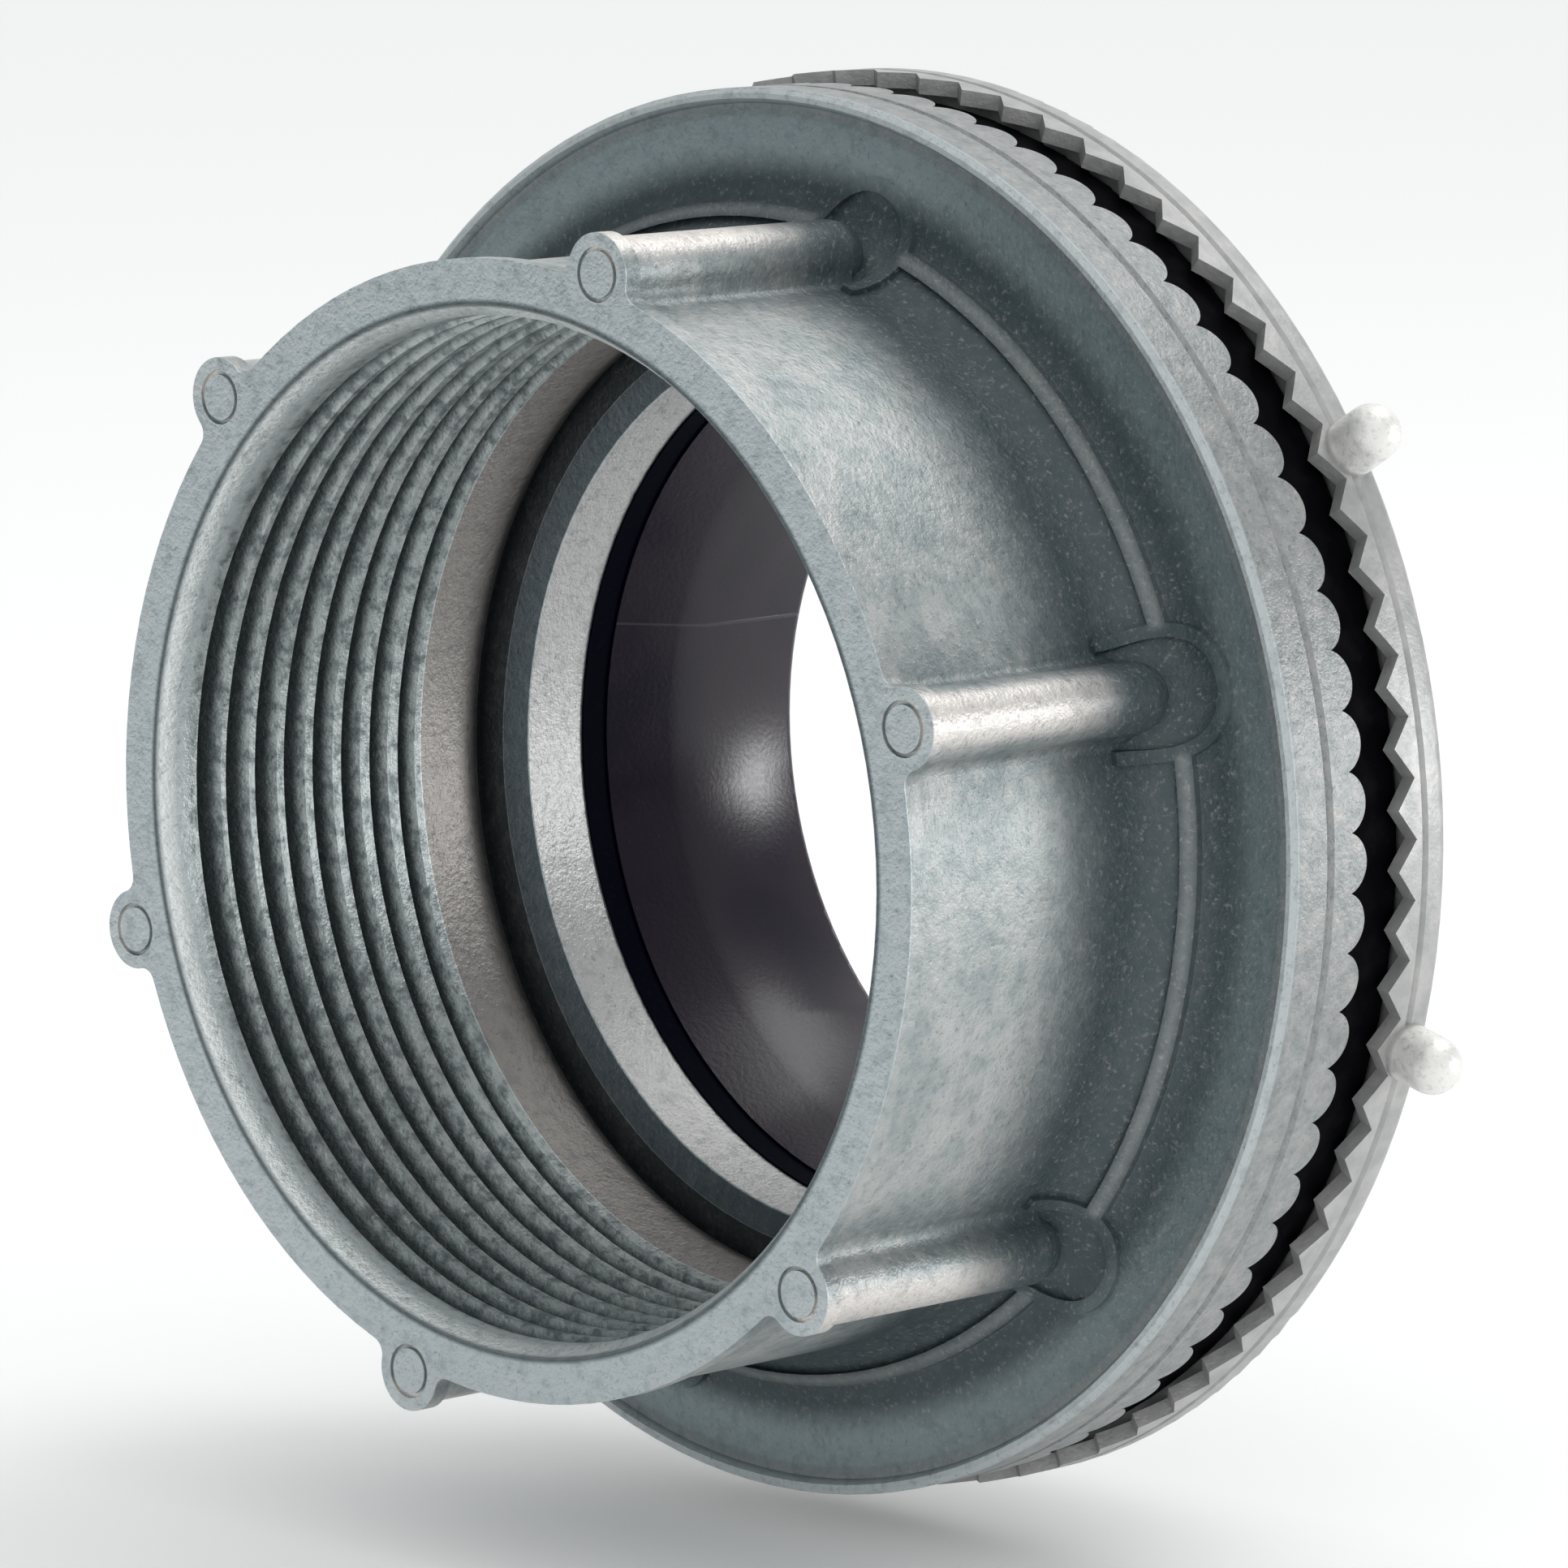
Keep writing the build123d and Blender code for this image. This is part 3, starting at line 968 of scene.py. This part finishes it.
@dataclass(frozen=True)
class Softbox:
    """One large, soft area light that aims at the hub."""

    name: str
    place: tuple[float, float, float]
    size: float
    power: float

    def build(self) -> None:
        """Add the light."""
        lamp = bpy.data.lights.new(self.name, "AREA")
        lamp.shape = "DISK"
        lamp.size = self.size
        lamp.energy = self.power
        obj = bpy.data.objects.new(self.name, lamp)
        obj.location = self.place
        obj.rotation_mode = "QUATERNION"
        obj.rotation_quaternion = (-Vector(self.place)).to_track_quat("-Z", "Y")
        bpy.context.scene.collection.objects.link(obj)


@dataclass
class Studio:
    """Plain pale floor, soft light and the camera. Angles are in degrees."""

    azimuth: float = 45.38
    elevation: float = 8.29
    distance: float = 510 * MM
    aim: tuple[float, float, float] = (-0.2 * MM, -4.5 * MM, 0.5 * MM)
    lens: float = 204.4
    clip: tuple[float, float] = (0.01, 20.0)
    floor_size: float = 6.0
    floor_gap: float = 2 * MM
    floor_roughness: float = 0.9
    floor_glow: float = 0.14
    backdrop: Colour = tone(0.95, 0.95, 0.95)
    bright_sky: Colour = tone(1.0, 1.0, 1.0)
    shades: tuple[Shade, ...] = (
        Shade((-0.70, -0.70, -0.10), (0.12, 0.85), tone(0.10, 0.13, 0.14)),
        Shade((0.69, 0.69, 0.05), (0.50, 0.92), tone(0.30, 0.31, 0.32)),
    )
    sky_strength: float = 1.0
    lights: tuple[Softbox, ...] = (
        Softbox("overhead", (0.15, 0.35, 0.75), 0.45, 1.45),
        Softbox("behind_right", (0.56, 0.556, 0.055), 0.17, 1.3),
    )

    def build(self, low_z: float) -> None:
        """Add floor, lights, sky and camera.

        Args:
            low_z: the height of the object's lowest point.
        """
        self.lay_floor(low_z - self.floor_gap)
        for light in self.lights:
            light.build()
        self.light_sky()
        self.place_camera()

    def lay_floor(self, height: float) -> None:
        """Add the floor.

        Args:
            height: where its surface lies.
        """
        deselect_all()
        bpy.ops.mesh.primitive_plane_add(size=self.floor_size, location=(0, 0, height))
        floor = bpy.context.object
        floor.name = "floor"
        bpy.ops.object.transform_apply(location=True, rotation=True, scale=True)
        shader = Shader("floor_paper")
        shader.set(Base_Color=self.backdrop, Roughness=self.floor_roughness)
        shader.set(Emission_Color=self.backdrop, Emission_Strength=self.floor_glow)
        floor.data.materials.append(shader.material)
        floor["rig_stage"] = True

    def light_sky(self) -> None:
        """Make the surroundings white, and dimmer on the shaded sides."""
        world = bpy.data.worlds.new("studio")
        world.use_nodes = True
        nodes = Nodes(world.node_tree)
        sky = nodes.tree.nodes["Background"]
        around = nodes.node("ShaderNodeTexCoord", {}, {}).outputs["Generated"]
        colour: Skin = self.bright_sky
        for shade in self.shades:
            sockets = {0: around, 1: shade.towards}
            facing = nodes.node("ShaderNodeVectorMath", {"operation": "DOT_PRODUCT"}, sockets)
            dim = Expr(nodes, facing.outputs["Value"]).ramp(*shade.fade)
            colour = nodes.mix(dim, colour, shade.colour)
        nodes.feed(sky.inputs["Color"], colour)
        nodes.feed(sky.inputs["Strength"], self.sky_strength)
        bpy.context.scene.world = world
        bpy.context.scene.view_settings.view_transform = "Standard"

    def place_camera(self) -> None:
        """Add the camera at its angle and distance from the aim point."""
        across, rise = math.radians(self.azimuth), math.radians(self.elevation)
        back = Vector(
            (math.sin(across) * math.cos(rise), -math.cos(across) * math.cos(rise), math.sin(rise))
        )
        data = bpy.data.cameras.new("camera")
        data.lens = self.lens
        data.clip_start, data.clip_end = self.clip
        camera = bpy.data.objects.new("camera", data)
        camera.location = Vector(self.aim) + back * self.distance
        camera.rotation_mode = "QUATERNION"
        camera.rotation_quaternion = (-back).to_track_quat("-Z", "Y")
        bpy.context.scene.collection.objects.link(camera)
        bpy.context.scene.camera = camera


def main() -> None:
    """Build the hub's pieces in order, then the studio."""
    logging.basicConfig(level=logging.INFO, format="%(name)s %(message)s")
    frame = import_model()
    for part in (HubCasting(), ThroatLiner(), Gasket(), ToothedNut()):
        piece = part.build(frame)
        LOG.info("%s: %d faces", piece.name, len(piece.data.polygons))
    Studio().build(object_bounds()[0].z)


if __name__ == "__main__":
    main()
